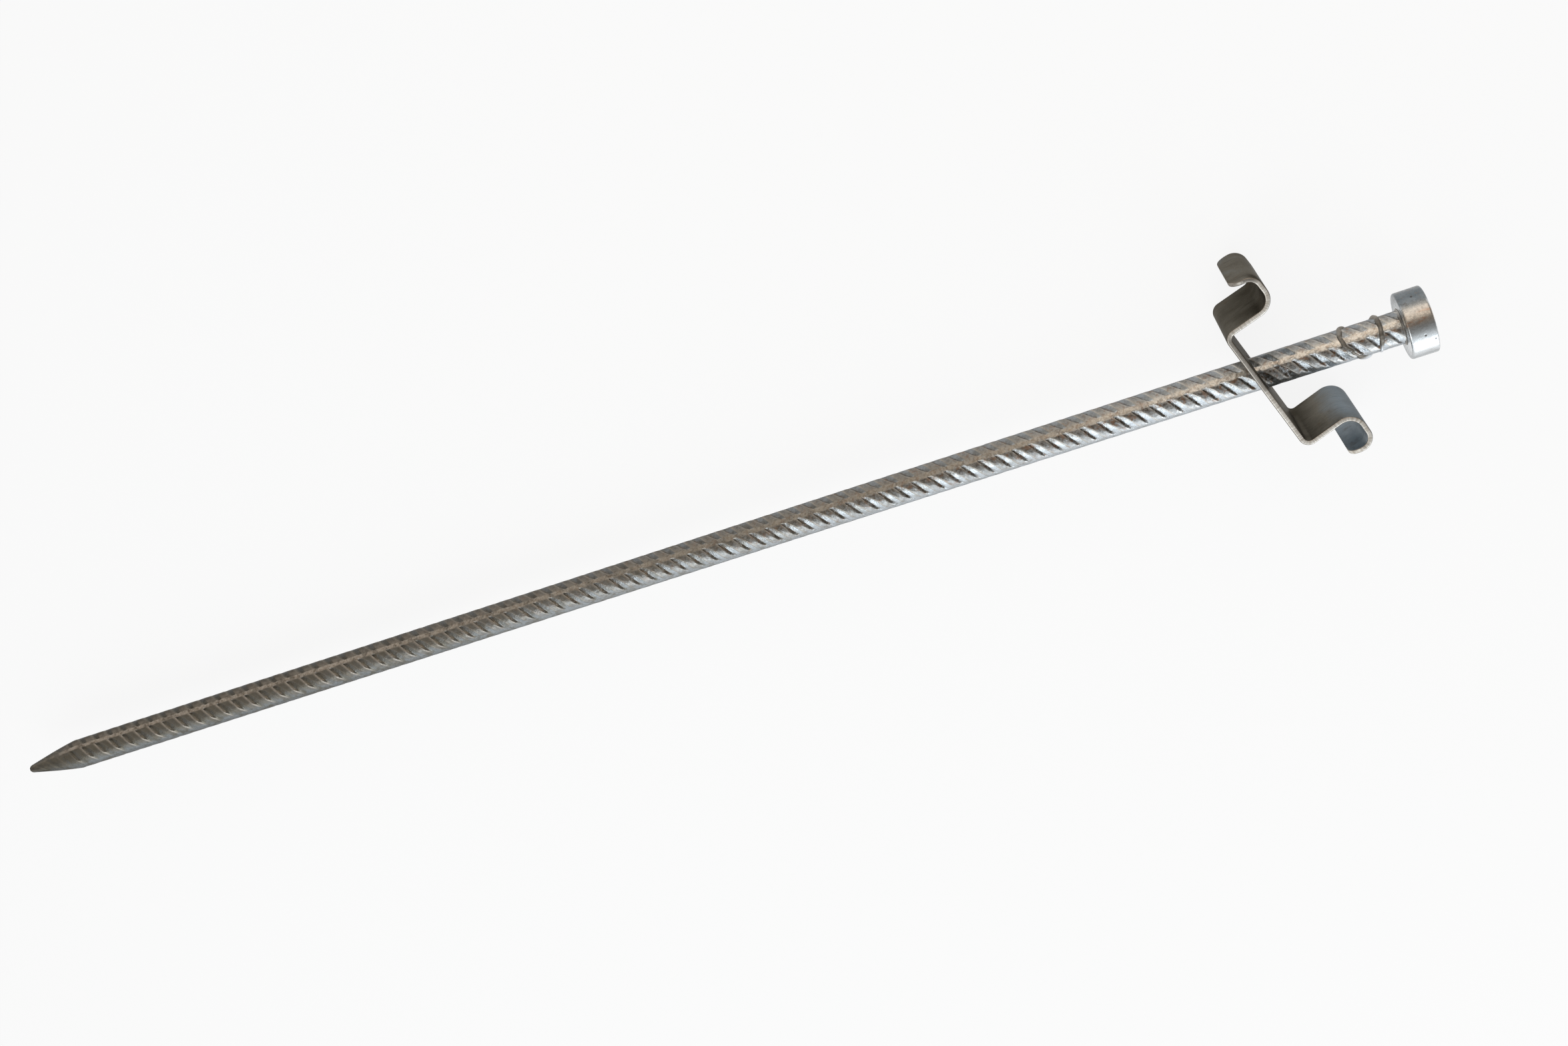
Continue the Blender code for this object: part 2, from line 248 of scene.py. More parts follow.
def zincedBar():
    look = rodFinishLook
    f = Finish("zinced_bar")
    place = f.place()
    band, line, spine, paintedShade, front = f.marks("band", "line", "spine", "paintedShade", "front")
    cloud, lump, fleck, grit, blotch, rust = [
        f.grain(place, *look[name + "Grain"])
        for name in ("cloud", "lump", "fleck", "grit", "blotch", "rust")]
    along = f.node("ShaderNodeSeparateXYZ", {}, {0: place}, "X") + (cloud - 0.5) * look["drift"]
    headward = along.step(*look["pointToHead"])

    # The zinc, grey and stained at the point, bright towards the head; the lower front side is
    # lighter and the upper back darker, painted light and shade, with a painted bluish reflection
    # of the window on the front near the head
    tone = f.mix(front, f.mix(headward, look["pointBack"], look["headBack"]),
                 f.mix(headward, look["pointFront"], look["headFront"]))
    tone = f.darken(fleck.patch(*look["fleckCut"]), tone, look["fleckTint"])
    tone = f.darken(lump.patch(*look["lumpCut"]), tone, look["lumpTint"])
    tone = f.darken(blotch.patch(*look["blotchCut"]) * (1.0 - headward), tone, look["blotchTint"])

    # The ribs' flat tops, darker on the upper back as painted shade, the painted shade beside them
    # and the painted highlight lines on their corners
    top = f.mix(headward, look["pointBand"], look["headBand"])
    top = f.mix(front, f.darken(1.0, top, look["backBand"]), top)
    top = f.mix(fleck.patch(*look["bandCut"]), top, look["headShadeAndFleck"])
    covered = band * (look["bandShare"] + (1.0 - look["bandShare"]) * spine)
    tone = f.mix((covered * grit.swing(*look["bandLevel"])).clamped(), tone, top)
    shade = (paintedShade * fleck.swing(*look["shadeLevel"])).clamped()
    tone = f.mix(shade, tone, f.mix(headward, look["pointShadeTone"], look["headShadeAndFleck"]))
    # Painted highlight lines on the rib corners; the same colour serves the chalky long ribs below
    glintAndChalk = f.mix(along.step(*look["pointToMiddle"]), look["pointLine"], look["middleLine"])
    glintAndChalk = f.mix(along.step(*look["middleToHead"]), glintAndChalk, look["headLine"])
    tone = f.mix((line * fleck.swing(*look["lineLevel"])).clamped(), tone, glintAndChalk)

    # The chalky long ribs and a little rust
    chalk = look["chalk"] + grit.patch(*look["chalkGrit"]) + lump.patch(*look["chalkLump"])
    ribbon = spine * (look["chalkAtPoint"] + (1.0 - look["chalkAtPoint"]) * headward)
    tone = f.mix((ribbon * chalk).clamped(), tone, glintAndChalk)
    tone = f.darken(spine * fleck.patch(*look["chalkFleck"]), tone, look["chalkTint"])
    rust = rust.patch(*look["rustCut"]) * (paintedShade + band * look["rustOnBands"]).clamped()
    tone = f.mix((rust * headward).clamped(), tone, look["rust"])

    rough = look["rough"] + grit.patch(*look["gritRough"]) + band * look["bandRough"]
    rough = (rough + shade * look["shadeRough"] + (1.0 - front) * look["backRough"]).clamped()
    height = lump * look["lumpRise"] + fleck * look["fleckRise"] + grit * look["gritRise"]
    f.set(**{"Base Color": tone, "Roughness": rough, "Metallic": look["metal"],
             "Specular Tint": look["specular"], "Normal": f.bump(height, *look["bump"])})
    return f.material


weldFinishLook = dict(
    bead=dict(dark=(0.19, 0.17, 0.145), light=(0.34, 0.315, 0.28), stain=(0.28, 0.19, 0.13)),
    seam=dict(dark=(0.27, 0.25, 0.225), light=(0.50, 0.48, 0.45), stain=(0.34, 0.24, 0.17)),
    bright=(0.68, 0.71, 0.74), brightLevel=(0.0, 0.6, 0.6),
    cloudGrain=(260.0, 4.0, 0.6), blotGrain=(310.0, 5.0, 0.7), ridgeGrain=(380.0, 4.0, 0.6),
    speckGrain=(1100.0, 3.0, 0.6), cloudCut=(0.34, 0.66), blotCut=(0.58, 0.74, 0.6),
    speckCut=(0.35, 0.6), metal=0.8, rough=0.42, speckRough=(0.3, 0.7, 0.16), brightRough=0.14,
    ridgeRise=0.6, speckRise=0.4, bump=(0.0005, 0.4),
)


def weldSkin(name, tones):
    look = weldFinishLook
    f = Finish(name)
    place = f.place()
    bareAndSheen, = f.marks("bareAndSheen")
    cloud, speck, blot, ridge = [
        f.grain(place, *look[grain + "Grain"]) for grain in ("cloud", "speck", "blot", "ridge")]
    tone = f.mix(cloud.step(*look["cloudCut"]), tones["dark"], tones["light"])
    mark = blot.patch(*look["blotCut"]) * speck.step(*look["speckCut"])
    tone = f.mix(mark, tone, tones["stain"])
    # Painted sheen: the bead's lower side and the spatter drops turn bright silver
    tone = f.mix((bareAndSheen * cloud.swing(*look["brightLevel"])).clamped(), tone, look["bright"])
    rough = look["rough"] + speck.patch(*look["speckRough"]) - bareAndSheen * look["brightRough"]
    height = ridge * look["ridgeRise"] + speck * look["speckRise"]
    f.set(**{"Base Color": tone, "Roughness": rough, "Metallic": look["metal"],
             "Normal": f.bump(height, *look["bump"])})
    return f.material


headFinishLook = dict(
    unlitSide=(0.16, 0.182, 0.195), windowLit=(0.78, 0.80, 0.81), warm=(0.55, 0.49, 0.42),
    rust=(0.50, 0.27, 0.16), brown=(0.21, 0.165, 0.13), pit=(0.06, 0.055, 0.05),
    speckTint=(0.5, 0.5, 0.5),
    pitGrain=(80.0, 2.0, 0.55), cloudGrain=(95.0, 4.0, 0.62), ridgeGrain=(330.0, 4.0, 0.6),
    blotGrain=(420.0, 4.0, 0.65), speckGrain=(900.0, 3.0, 0.6),
    streakGrain=(150.0, 5.0, 0.7, (0.3, 1.0, 1.0)), holes=190.0,
    windowLitSway=0.5, warmLevel=(0.5, 0.75, 0.8), speckCut=(0.35, 0.7, 0.22), blotCut=(0.5, 0.66),
    brownShare=0.4, brownOnWindowLit=0.15, streakCut=(0.46, 0.6, 0.85), warmCut=(0.5, 1.0),
    holeCut=(0.06, 0.17), pitCut=(0.46, 0.53), pitShare=0.85,
    metal=0.92, rough=0.2, speckRough=(0.3, 0.7, 0.16),
    ridgeRise=0.55, speckRise=0.35, pitDepth=1.6, bump=(0.0005, 0.22),
)


def zincedHead():
    look = headFinishLook
    f = Finish("zinced_head")
    place = f.place()
    windowLit, warm = f.marks("windowLit", "warm")
    cloud, speck, blot, streak, pits, ridge = [
        f.grain(place, *look[name + "Grain"])
        for name in ("cloud", "speck", "blot", "streak", "pit", "ridge")]
    # Painted light: bright on the side facing the window, darker elsewhere
    windowLit = (windowLit + (cloud - 0.5) * look["windowLitSway"]).clamped()
    tone = f.mix(windowLit, look["unlitSide"], look["windowLit"])
    # A painted warm reflection on the side facing the warm lamp
    tone = f.mix((warm * cloud.swing(*look["warmLevel"])).clamped(), tone, look["warm"])
    tone = f.darken(speck.patch(*look["speckCut"]), tone, look["speckTint"])
    brownShare = look["brownShare"] - (look["brownShare"] - look["brownOnWindowLit"]) * windowLit
    tone = f.mix(blot.step(*look["blotCut"]) * brownShare, tone, look["brown"])
    streaked = streak.patch(*look["streakCut"]) * warm.step(*look["warmCut"])
    tone = f.mix(streaked.clamped(), tone, look["rust"])
    hole = f.node("ShaderNodeTexVoronoi", {}, {"Vector": place, "Scale": look["holes"]})
    pit = (1.0 - hole.step(*look["holeCut"])) * pits.step(*look["pitCut"])
    tone = f.mix(pit * look["pitShare"], tone, look["pit"])
    height = ridge * look["ridgeRise"] + speck * look["speckRise"] - pit * look["pitDepth"]
    f.set(**{"Base Color": tone, "Roughness": look["rough"] + speck.patch(*look["speckRough"]),
             "Metallic": look["metal"], "Normal": f.bump(height, *look["bump"])})
    return f.material


stripFinishLook = dict(
    tones=((0.0, (0.066, 0.061, 0.050)), (0.35, (0.205, 0.192, 0.165)),
           (0.7, (0.29, 0.335, 0.37)), (1.0, (0.52, 0.55, 0.57))),
    streak=(0.45, 0.42, 0.39), stain=(0.14, 0.095, 0.062), rim=(0.12, 0.095, 0.075),
    cutDark=(0.52, 0.465, 0.40), cutLight=(0.93, 0.89, 0.83), cutShade=(0.34, 0.31, 0.275),
    specular=(0.3, 0.29, 0.28),
    cloudGrain=(55.0, 3.0, 0.55), stainGrain=(150.0, 4.0, 0.65), fleckGrain=(700.0, 3.0, 0.6),
    drawnGrain=(620.0, 4.0, 0.6, (0.09, 1.0, 1.0)), shearGrain=(900.0, 2.0, 0.5, (1.0, 0.0, 0.0)),
    cloudSway=0.45, fleckSway=0.1, drawnCut=(0.54, 0.72, 0.7), streakHidden=0.7,
    stainCut=(0.6, 0.72, 0.3), shearCut=(0.35, 0.65, 0.65), edgeCloudCut=(0.4, 0.62, 0.35),
    edgeFleckCut=(0.5, 0.75, 0.3), cutShadeLevel=(0.0, 0.7, 0.6),
    rimCut=(0.02, 0.16, 0.8), bareCut=(0.16, 0.5),
    metal=0.92, bareMetal=0.42, cutShadeMetal=0.82,
    rough=0.34, fleckRough=(0.3, 0.7, 0.14), drawnRough=0.06, bareRough=0.12,
    fleckRise=0.4, drawnRise=0.6, shearRise=0.6, bump=(0.0004, 0.28),
)


def zincedStrip():  # UV: u runs along the strip, v across it, both in metres
    look = stripFinishLook
    f = Finish("zinced_strip")
    place = f.place()
    laid = f.node("ShaderNodeUVMap", dict(uv_map="strip"), {})
    cut, patinaAndShading, dim = f.marks("cut", "patinaAndShading", "dim")
    cloud, fleck, stain = [f.grain(place, *look[name + "Grain"])
                           for name in ("cloud", "fleck", "stain")]
    drawn, shear = [f.grain(laid, *look[name + "Grain"]) for name in ("drawn", "shear")]

    # The rolled faces: the strip's own darker zinc, with painted shade in the hooks' hollows and a
    # painted bluish reflection on their lit faces
    shade = patinaAndShading + (cloud - 0.5) * look["cloudSway"] + (fleck - 0.5) * look["fleckSway"]
    tone = f.node("ShaderNodeValToRGB", dict(stops=look["tones"]), {0: shade.clamped()})
    streaks = drawn.patch(*look["drawnCut"]) * (1.0 - patinaAndShading * look["streakHidden"])
    tone = f.darken(streaks, tone, look["streak"])
    tone = f.mix(stain.patch(*look["stainCut"]), tone, look["stain"])

    # The sheared edges, with painted shade on them by the rod and at the curl, and a dark rim
    # beside them, painted shade on the rolled edge
    edge = f.mix(shear.patch(*look["shearCut"]) + cloud.patch(*look["edgeCloudCut"]),
                 look["cutDark"], look["cutLight"])
    edge = f.mix(fleck.patch(*look["edgeFleckCut"]), edge, look["cutDark"])
    # Painted shade dims the cut edge
    edge = f.mix((dim * shear.swing(*look["cutShadeLevel"])).clamped(), edge, look["cutShade"])
    tone = f.mix(cut.patch(*look["rimCut"]), tone, look["rim"])
    bareAndSheen = cut.step(*look["bareCut"])
    tone = f.mix(bareAndSheen, tone, edge)

    rough = look["rough"] + fleck.patch(*look["fleckRough"]) + drawn * look["drawnRough"]
    height = (fleck * look["fleckRise"] + drawn * look["drawnRise"]) * (1.0 - bareAndSheen)
    height = height + shear * look["shearRise"] * bareAndSheen
    bareMetal = look["bareMetal"] + (look["cutShadeMetal"] - look["bareMetal"]) * dim
    metal = look["metal"] - bareAndSheen * (look["metal"] - bareMetal)
    f.set(**{"Base Color": tone, "Roughness": rough - bareAndSheen * look["bareRough"],
             "Metallic": metal.clamped(), "Specular Tint": look["specular"],
             "Normal": f.bump(height, *look["bump"])})
    return f.material


barSteel = zincedBar()
headSteel = zincedHead()
weldSteel = weldSkin("weld_metal", weldFinishLook["bead"])
seamSteel = weldSkin("seam_metal", weldFinishLook["seam"])
plateSteel = zincedStrip()
print("finishes ready")

# Lengths are mm from the point. Each rib is a flat band: across counts mm from its edge on the
# point's side. A pair is where an eased run starts and ends, a wobble layer is depth, size, seed
rodLook = dict(
    core=7.75, midSwell=0.66, pitch=9.019, starts=4, phase=0.65,
    # Section of a rib: the mesh rows in one pitch, and the lift over the core
    rows=(0.0, 0.45, 1.4, 2.5, 3.1, 3.5, 3.85, 4.2, 4.6, 5.0, 5.5, 6.4, 7.5, 8.3, 8.6, 8.82),
    profile=((-1.0, 0.66), (-0.42, 0.74), (0.0, 1.0), (3.45, 1.0), (3.9, 0.86), (4.9, 0.06),
             (5.3, 0.0), (8.6, 0.74), (9.02, 1.0), (10.0, 1.0)),
    ribHeight=1.0, topWidth=3.5, cornerFill=2.8, fillReach=8.0, fillFade=15.0, fillTurn=6.0,
    # The spines are the two long ribs, half widths in degrees
    spineHeight=0.95, pointSpine=5.0, headSpine=7.8, spineGrowth=700.0, spineFlank=4.0,
    collarSpread=3.0, collarRun=(752.0, 775.0), spineStart=48.5, spineTwist=-0.021,
    spineRagged=((1.4, 2.3, 0.0), (1.3, 6.0, 5.0)),
    bandSway=((0.12, 1.6, 9.0), (0.1, 4.0, 9.0)), ribDents=((0.06, 1.3, 14.0),),
    skinDents=((0.05, 2.6, 3.0), (0.04, 1.5, 8.0)),
    # Ribs on the two sides of a spine: where they start to lie flat, at the point and at the head,
    # how far their painted highlight line runs and how strong it is, at the point and at the head
    beforeSpine=dict(flatFrom=(46.0, 60.0), lineFade=(82.0, 60.0), lineShare=(1.0, 1.0)),
    pastSpine=dict(flatFrom=(30.0, 42.0), lineFade=(66.0, 48.0), lineShare=(0.12, 0.9)),
    headwardRun=(150.0, 520.0), midFade=0.9, flatRun=24.0,
    # Painted highlight lines, flat tops, and the painted shade and the chalk on and beside them
    lineWidth=0.4, farCorner=3.45, nearLine=(0.15, 1.0), farLine=(1.0, 0.55),
    bandStart=(-0.35, 0.1), bandEnd=(3.95, 3.5), nextBand=(8.6, 9.0), bandFade=(78.0, 56.0),
    shadeStart=(3.5, 4.1), shadeEnd=(5.9, 4.9), shadeFade=(84.0, 62.0),
    topShade=0.85, topShadeFade=(56.0, 16.0), footShade=0.6, footShadeFade=(38.0, 18.0),
    topChalk=(0.3, 0.4), topChalkFade=(34.0, 12.0),
    # Angle round the rod and how lit that side is, painted light and shade; painted shade beside
    # the plate; a darker patch near the point
    sideLight=((-180.0, 0.3), (-110.0, 0.3), (-60.0, 0.6), (-40.0, 1.0), (15.0, 1.0), (60.0, 0.0),
             (110.0, 0.0), (180.0, 0.3)),
    sideLightTurn=16.0, sideLightRun=(520.0, 740.0),
    plateShade=dict(share=0.85, along=((755.0, 741.0), (722.0, 729.0)),
               around=((25.0, 18.0), (-44.0, -8.0)), mottle=((0.7, 2.4, 0.0),)),
    pointDark=dict(share=0.7, along=((430.0, 170.0),), around=((-34.0, 0.0), (75.0, 50.0)),
              mottle=((0.9, 4.0, 6.0),)),
    # The ground point: length and radius, then the share of each mark that fades on the point:
    # the ribs are ground away, and the painted highlight lines and painted lit side are toned down
    point=((-1.0, 0.5), (0.0, 1.0), (0.5, 1.7), (1.4, 2.2), (9.0, 3.85), (18.0, 5.75),
           (27.0, 7.4), (36.0, 8.8)),
    pointFade=dict(spine=(0.85, 44.0, 10.0), band=(0.9, 44.0, 10.0), line=(0.85, 46.0, 32.0),
                   front=(0.9, 44.0, 10.0)),
    tipCut=0.1, columns=68, crowd=0.65,
)


def besideSpine(angle):  # degrees past the nearest of the two spines
    return (angle + 90.0) % 180.0 - 90.0


def ribSpread(angle, across):  # the bands widen where they run into a spine
    look = rodLook
    side = besideSpine(angle)
    fill = look["cornerFill"] * exp(-max(0.0, abs(side) - look["fillReach"]) / look["fillFade"])
    high = fill * smooth(-look["fillTurn"], look["fillTurn"], side)
    low = fill - high
    top, pitch = look["topWidth"], look["pitch"]
    if across <= top:
        return -low + across * (top + low + high) / top
    return top + high + (across - top) * (pitch - top - low - high) / (pitch - top)


def ribShape(length, angle, across):  # lift over the core and the wear and soil that follow it
    look = rodLook
    side = besideSpine(angle)
    off = abs(side)
    flank = look["pastSpine"] if side > 0.0 else look["beforeSpine"]
    headward = smooth(*look["headwardRun"], length)

    half = blend(look["pointSpine"], look["headSpine"], clamp(length / look["spineGrowth"]))
    half += look["collarSpread"] * smooth(*look["collarRun"], length)
    ragged = wobble(length, angle, look["spineRagged"])
    spine = smooth(half + look["spineFlank"], half, off + ragged)
    across += wobble(length, angle, look["bandSway"])
    rib = alongKnots(look["profile"], across, eased=False)[0]
    rib += wobble(length, angle, look["ribDents"])
    start = blend(*flank["flatFrom"], headward)  # ribs lie flatter midway between the spines
    flat = look["midFade"] * smooth(start, start + look["flatRun"], off)
    lift = max(spine * look["spineHeight"], rib * (1.0 - flat) * look["ribHeight"])

    # Painted highlight lines along the rib corners
    near = min(abs(across), abs(across - look["pitch"])) / look["lineWidth"]
    far = (across - look["farCorner"]) / look["lineWidth"]
    line = max(exp(-near * near) * blend(*look["nearLine"], headward),
               exp(-far * far) * blend(*look["farLine"], headward))
    line *= smooth(*flank["lineFade"], off) * blend(*flank["lineShare"], headward)
    band = smooth(*look["bandStart"], across) * smooth(*look["bandEnd"], across)
    band = max(band, smooth(*look["nextBand"], across)) * smooth(*look["bandFade"], off)
    # Painted shade beside each rib, and before a spine near the head also on the tops and feet
    paintedShade = smooth(*look["shadeStart"], across) * smooth(*look["shadeEnd"], across)
    paintedShade *= smooth(*look["shadeFade"], off)
    if side < 0.0:
        paintedShade = max(paintedShade, look["topShade"] * headward * band * smooth(*look["topShadeFade"], off),
                   look["footShade"] * headward * smooth(*look["footShadeFade"], off))
    else:
        chalky = blend(*look["topChalk"], headward) * smooth(*look["topChalkFade"], off)
        spine = max(spine, chalky * band)
    return lift, dict(band=max(band, spine), line=line * (1.0 - spine), spine=spine,
                      paintedShade=paintedShade * (1.0 - spine))


def patchShare(patch, length, turned):  # a darker patch on part of the rod
    share = patch["share"] * (1.0 + wobble(length, turned, patch["mottle"]))
    for run in patch["along"]:
        share *= smooth(*run, length)
    for run in patch["around"]:
        share *= smooth(*run, turned)
    return share


def paintedLightByPlace(marks, length, turned):  # the marks that depend on the place on the rod, with its painted light and shade
    look = rodLook
    # Painted light: the lower front side lit and the upper back side shaded, turned a little near
    # the head
    late = look["sideLightTurn"] * smooth(*look["sideLightRun"], length)
    marks["front"] = alongKnots(look["sideLight"], turned - late)[0]
    for name, (share, whole, glintAndChalk) in look["pointFade"].items():
        marks[name] *= 1.0 - share * smooth(whole, glintAndChalk, length)
    # Painted shade beside the plate, where it blocks the light, and a darker patch near the point
    pointDark = patchShare(look["pointDark"], length, turned) * (1.0 - marks["spine"])
    marks["paintedShade"] = max(marks["paintedShade"], patchShare(look["plateShade"], length, turned), pointDark)


def pointRadius(length):  # the ground point, no limit past it
    knots = rodLook["point"]
    return alongKnots(knots, length, eased=False)[0] if length < knots[-1][0] else inf


def makeRod():
    look = rodLook
    lead = look["pitch"] * look["starts"]
    rodEnd = (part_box("rod")[1].x - tipX) / mm
    perPitch = len(look["rows"])
    spare = 3  # pitches past the ends, cut away below
    rows = int((rodEnd + lead) / look["pitch"] + spare) * perPitch
    bm = bmesh.new()
    bmesh.ops.create_grid(bm, x_segments=rows, y_segments=look["columns"], size=0.5)
    layers = {k: bm.verts.layers.float.new(k) for k in ("band", "line", "spine", "paintedShade", "front")}
    for v in bm.verts:
        row = round((v.co.x + 0.5) * rows)
        turn = 2.0 * round((v.co.y + 0.5) * look["columns"]) / look["columns"]
        # Columns crowd together at the two spines
        angle = 180.0 * (turn - look["crowd"] * sin(2.0 * pi * turn) / (2.0 * pi))
        across = look["rows"][row % perPitch]
        length = (row // perPitch - 1) * look["pitch"] + look["phase"] - lead * angle / 360.0
        length += ribSpread(angle, across)
        skin = angle + look["spineStart"] + look["spineTwist"] * length
        lift, marks = ribShape(length, angle, across)
        paintedLightByPlace(marks, length, (skin + 180.0) % 360.0 - 180.0)
        for name, value in marks.items():
            v[layers[name]] = clamp(value)
        radius = look["core"] + look["midSwell"] * sin(radians(angle)) ** 2 + lift
        radius += wobble(length, angle, look["skinDents"])
        v.co = onRod(length, skin, min(radius, pointRadius(length)))
    closeUp(bm)
    for plane, way in ((tipX + look["tipCut"] * mm, -1.0), (tipX + rodEnd * mm, 1.0)):
        geometry = bm.verts[:] + bm.edges[:] + bm.faces[:]
        bmesh.ops.bisect_plane(bm, geom=geometry, dist=1e-7, plane_co=(plane, 0, 0),
                               plane_no=(way, 0, 0), clear_outer=True)
        rim = [e for e in bm.edges if e.is_boundary
               and max(abs(v.co.x - plane) for v in e.verts) < 1e-6]
        bmesh.ops.edgeloop_fill(bm, edges=rim)
    closeUp(bm)
    return makePiece("ribbed_rod", bm, "stake", "rod", barSteel, sharp=60.0)


makeRod()

# The two tables are angle round the head and the share there of painted light from the window
# side (the first) and of a painted warm reflection (the second)
headLook = dict(
    rim=1.1, rimSteps=6, sides=144, wallCuts=9, unevenness=0.12, swayScale=140.0, wornFrom=0.6,
    windowLit=((-180.0, 0.35), (-70.0, 0.35), (-54.0, 0.45), (-42.0, 0.85), (-33.0, 1.0),
           (-6.0, 0.97), (3.0, 0.72), (10.0, 0.62), (20.0, 0.8), (47.0, 0.8), (57.0, 0.15),
           (70.0, 0.0), (110.0, 0.0), (180.0, 0.35)),
    warm=((-180.0, 0.0), (6.0, 0.0), (20.0, 1.0), (29.0, 0.95), (40.0, 0.55), (50.0, 0.0),
          (180.0, 0.0)),
)


def makeHead():
    look = headLook
    radius = 0.5 * (headHigh.y - headLow.y)
    depth = headHigh.x - headLow.x
    bm = bmesh.new()
    bmesh.ops.create_cone(bm, cap_ends=True, segments=look["sides"], radius1=radius,
                          radius2=radius, depth=depth)
    caps = [f for f in bm.faces if abs(f.normal.z) > 0.5]
    rims = [e for f in caps for e in f.edges]
    bmesh.ops.bevel(bm, geom=rims, offset=look["rim"] * mm, segments=look["rimSteps"],
                    profile=0.5, affect="EDGES", material=-1)
    walls = [e for e in bm.edges if abs(e.verts[0].co.z - e.verts[1].co.z) > 0.6 * depth]
    bmesh.ops.subdivide_edges(bm, edges=walls, cuts=look["wallCuts"], use_grid_fill=True)
    bmesh.ops.rotate(bm, verts=bm.verts, matrix=Matrix.Rotation(radians(90.0), 3, "Y"))
    windowLit = bm.verts.layers.float.new("windowLit")
    warm = bm.verts.layers.float.new("warm")
    deepest = look["unevenness"] * mm
    for v in bm.verts:
        out = Vector((0.0, v.co.y, v.co.z))
        share = smooth(look["wornFrom"] * radius, radius, out.length)
        sway = noise.noise(v.co * look["swayScale"])
        v.co -= out.normalized() * deepest * (1.0 + sway) * 0.5 * share
        angle = degrees(atan2(v.co.y, v.co.z))
        # Painted light by angle: the window side lit and a painted warm reflection band
        v[windowLit] = alongKnots(look["windowLit"], angle)[0]
        v[warm] = alongKnots(look["warm"], angle)[0] * share
    bmesh.ops.translate(bm, verts=bm.verts,
                        vec=Vector((0.5 * (headLow.x + headHigh.x), axisY, axisZ)))
    closeUp(bm)
    return makePiece("striking_head", bm, "stake", "head", headSteel, sharp=50.0)


makeHead()

# The route is angle round the rod, distance below the head, half width, height over the ribs
beadLook = dict(
    route=((-432.0, 12.8, 0.7, 0.2), (-406.0, 12.5, 1.25, 0.75), (-350.0, 11.0, 1.4, 1.0),
           (-320.0, 10.5, 1.4, 1.05), (-283.0, 10.5, 1.45, 1.1), (-251.0, 11.6, 1.5, 1.15),
           (-160.0, 15.5, 1.65, 1.1), (-84.0, 19.4, 3.4, 1.3), (-60.0, 21.2, 2.9, 0.95),
           (-40.0, 23.0, 2.0, 0.75), (-10.0, 26.2, 1.5, 0.8), (20.0, 29.2, 1.4, 0.85),
           (50.0, 30.0, 1.4, 0.85), (80.0, 28.9, 1.7, 1.0), (105.0, 27.5, 2.4, 0.95),
           (122.0, 26.5, 1.2, 0.3)),
    top=8.65, seat=7.7, crest=10.0, around=24, along=260, ripple=0.03, ripplePitch=13.0,
    endShare=0.012, lumps=((0.12, 3.6, 21.0),), drift=((0.3, 6.0, 2.0),),
    # Where the bead's lower side gets painted sheen, by angle along the route
    sheenStart=(-374.0, -392.0), sheenFoot=((-44.0, -68.0), (-150.0, -120.0)),
)


def makeStopBead():
    look = beadLook
    bm = bmesh.new()
    bmesh.ops.create_grid(bm, x_segments=look["along"], y_segments=look["around"], size=0.5)
    first, last = look["route"][0][0], look["route"][-1][0]
    bareAndSheen = bm.verts.layers.float.new("bareAndSheen")
    for v in bm.verts:
        share = v.co.x + 0.5
        turn = 2.0 * pi * (v.co.y + 0.5)
        angle = blend(first, last, share)
        below, half, height = alongKnots(look["route"], angle)
        length = underHead - below
        ends = sqrt(clamp(min(share, 1.0 - share) / look["endShare"]))
        ripple = 1.0 + look["ripple"] * sin(2.0 * pi * angle / look["ripplePitch"])
        lump = 1.0 + wobble(length, angle, look["lumps"])
        side = half * ends * lump
        rise = (height + look["top"] - look["seat"]) * ends * lump * ripple
        # Painted sheen on the bead's lower side
        foot, footEnd = look["sheenFoot"]
        v[bareAndSheen] = max(smooth(*look["sheenStart"], angle),
                      smooth(*foot, angle) * smooth(*footEnd, angle))
        length += wobble(length, angle, look["drift"])
        v.co = onRod(length + side * cos(turn), angle,
                     min(look["seat"] + rise * sin(turn), look["crest"]))
    closeUp(bm, 2e-6)
    return makePiece("weld_stop_bead", bm, "stake", "stop_bead", weldSteel,
                     sharp=70.0)


makeStopBead()

# A drop is its distance below the head, angle, half width and height over its seat
spatterLook = dict(drops=((12.9, 9.0, 0.6, 0.8), (26.9, -6.0, 0.6, 1.0)), seat=8.45, bareAndSheen=0.75)


def makeSpatter():
    look = spatterLook
    bm = bmesh.new()
    bareAndSheen = bm.verts.layers.float.new("bareAndSheen")
    for below, angle, size, height in look["drops"]:
        made = bmesh.ops.create_icosphere(bm, subdivisions=3, radius=1.0)["verts"]
        centre = onRod(underHead - below, angle, look["seat"])
        out = (onRod(underHead - below, angle, look["seat"] + 1.0) - centre).normalized()
        for v in made:
            rise = v.co.dot(out)
            flat = (v.co - out * rise) * size * mm
            v.co = centre + flat + out * rise * height * mm
            # Painted highlight on each drop
            v[bareAndSheen] = look["bareAndSheen"]
    closeUp(bm)
    return makePiece("weld_spatter", bm, "stake", None, weldSteel, sharp=70.0)


makeSpatter()

seamLook = dict(leg=1.3, rise=1.35, seat=8.2, sunk=0.1, hollow=0.72, uneven=((0.35, 4.0, 31.0),),
                around=96, across=10)


